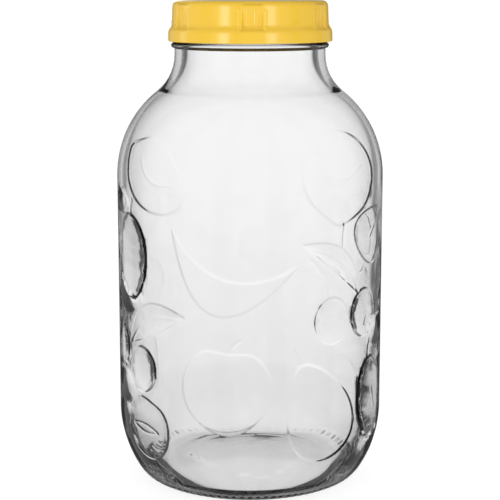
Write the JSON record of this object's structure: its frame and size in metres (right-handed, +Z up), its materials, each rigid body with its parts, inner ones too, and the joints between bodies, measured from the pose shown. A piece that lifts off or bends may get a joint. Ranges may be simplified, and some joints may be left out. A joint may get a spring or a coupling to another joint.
{
  "type": "twist-off jar",
  "caption": "Wide-mouth clear glass storage jar, empty and closed, with a ribbed plastic twist-off cap seated on its lip.",
  "frame": {"origin": "centre of the plane that the jar's bearing ring stands on", "axes": "+Z up the axis of the jar to the cap; -Y is the front, where the grip nearest to the viewer and the main relief are"},
  "size_m": [0.176, 0.176, 0.3143],
  "materials": {
    "glass": "clear flint glass, fire-polished",
    "cap": "moulded, glossy yellow"
  },
  "bodies": {
    "root": {"jar": "glass", "cap": "cap"}
  },
  "joints": []
}
